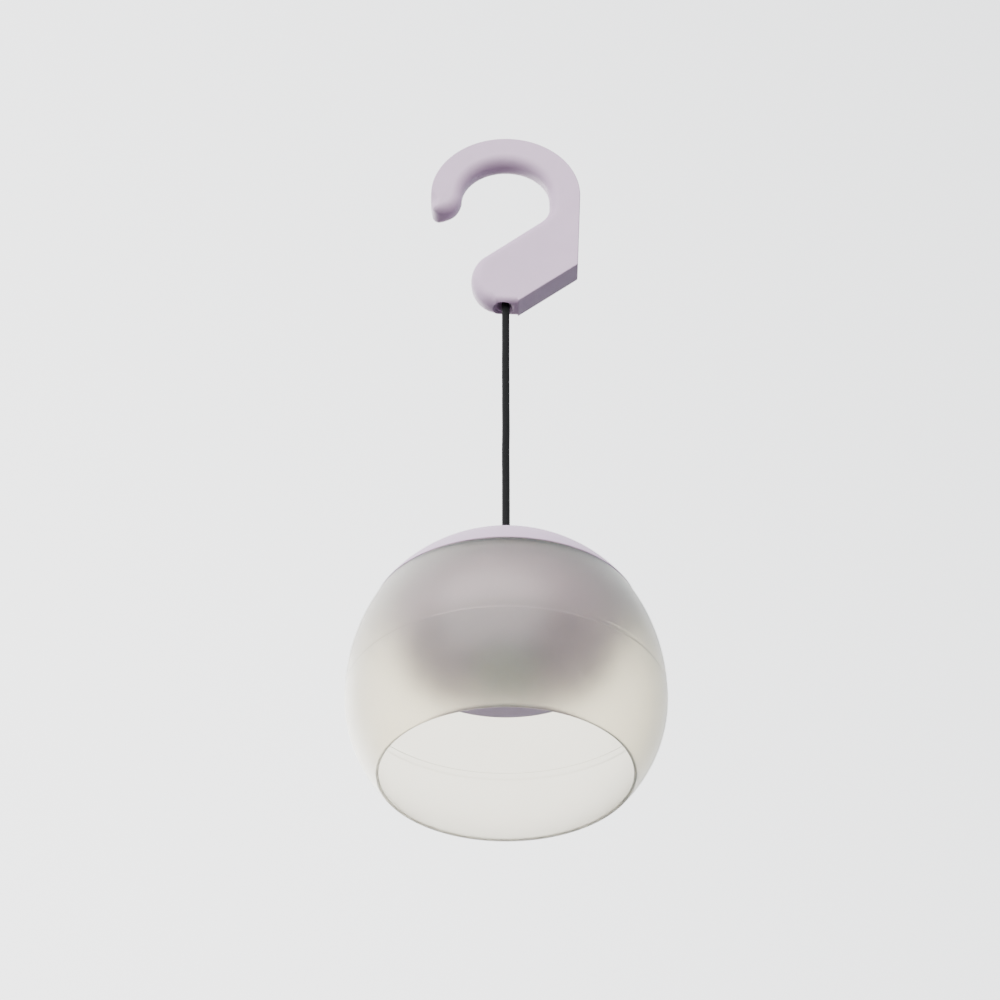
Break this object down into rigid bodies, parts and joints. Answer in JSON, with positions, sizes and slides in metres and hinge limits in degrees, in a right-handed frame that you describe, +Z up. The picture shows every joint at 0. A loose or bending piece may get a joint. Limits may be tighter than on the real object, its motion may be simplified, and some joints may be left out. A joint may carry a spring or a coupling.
{
  "type": "camping lantern",
  "caption": "Rechargeable hanging camping lantern: a globe with an opaque cap and an open frosted shade, on a cord below a moulded open hook.",
  "frame": {"origin": "the hook's saddle: the top of its opening, midway through its thickness, where it rests on what it hangs from", "axes": "+Z up along the cord, +X to the hook's closed side with its opening at -X, -Y to the front"},
  "size_m": [0.1202, 0.1202, 0.3087],
  "materials": {
    "lavender_plastic": "matte, fine moulded grain",
    "grey_plastic": "matte, fine moulded grain",
    "frosted_plastic": "frosted translucent, matte outside",
    "lens_plastic": "opal, semi-gloss",
    "black_cord": "braided polyester",
    "grey_silicone": "matte silicone",
    "plated_steel": "zinc plated",
    "nickel": "nickel plated",
    "green_board": "solder mask over glass epoxy",
    "white_board": "white solder mask",
    "led_phosphor": "yellow phosphor",
    "chip_epoxy": "matte epoxy",
    "cell_wrap": "shrink wrap",
    "black_plastic": "matte",
    "red_wire": "satin insulation",
    "black_wire": "satin insulation"
  },
  "bodies": {
    "hook": {"hook": "lavender_plastic", "upper_knot": "black_cord"},
    "cord_top": {"cord_upper": "black_cord"},
    "cord": {"cord_lower": "black_cord"},
    "cord_tail": {"cord_end": "black_cord"},
    "cord_anchor": {"lower_knot": "black_cord", "knot_washer": "plated_steel"},
    "power_button": {"power_button": "grey_silicone"},
    "usb_flap": {"usb_flap": "grey_silicone"},
    "lantern": {"top_cap": "lavender_plastic", "inner_housing": "grey_plastic", "shade_upper": "frosted_plastic", "shade_lower": "frosted_plastic", "lens": "lens_plastic", "cap_gasket": "grey_silicone", "button_seal": "grey_silicone", "usb_socket": "nickel", "control_board": "green_board", "control_chip": "chip_epoxy", "switch_board": "green_board", "tact_switch": "chip_epoxy", "led_board": "white_board", "battery_cell": "cell_wrap", "battery_holder": "black_plastic", "contact_positive": "nickel", "contact_negative": "nickel", "battery_lead_red": "red_wire", "battery_lead_black": "black_wire", "led_lead_red": "red_wire", "led_lead_black": "black_wire", "led_1": "led_phosphor", "led_2": "led_phosphor", "led_3": "led_phosphor", "led_4": "led_phosphor", "led_5": "led_phosphor", "led_6": "led_phosphor", "housing_screw_1": "plated_steel", "housing_screw_2": "plated_steel", "housing_screw_3": "plated_steel", "housing_screw_4": "plated_steel", "board_screw_1": "plated_steel", "board_screw_2": "plated_steel", "holder_screw_1": "plated_steel", "holder_screw_2": "plated_steel", "led_screw_1": "plated_steel", "led_screw_2": "plated_steel"}
  },
  "joints": [
    {"name": "swing_front_back", "type": "hinge", "parent": "hook", "child": "cord_top", "pos_m": [0, 0, -0.0755], "axis": [1, 0, 0], "range_deg": [-60, 60]},
    {"name": "swing_side_to_side", "type": "hinge", "parent": "cord_top", "child": "cord", "pos_m": [0, 0, -0.0815], "axis": [0, 1, 0], "range_deg": [-60, 60]},
    {"name": "lantern_tilt_front_back", "type": "hinge", "parent": "cord", "child": "cord_tail", "pos_m": [0, 0, -0.1904], "axis": [1, 0, 0], "range_deg": [-35, 35]},
    {"name": "lantern_tilt_side", "type": "hinge", "parent": "cord_tail", "child": "cord_anchor", "pos_m": [0, 0, -0.1964], "axis": [0, 1, 0], "range_deg": [-35, 35]},
    {"name": "lantern_twist", "type": "hinge", "parent": "cord_anchor", "child": "lantern", "pos_m": [0, 0, -0.2], "axis": [0, 0, 1], "continuous": true},
    {"name": "power_button_press", "type": "slide", "parent": "lantern", "child": "power_button", "axis": [0, -0.4, -0.9165], "range_m": [0, 0.0008], "stiffness_N_per_m": 1500},
    {"name": "usb_flap_hinge", "type": "hinge", "parent": "lantern", "child": "usb_flap", "pos_m": [0, 0.0462, -0.2181], "axis": [-1, 0, 0], "range_deg": [0, 120]}
  ]
}
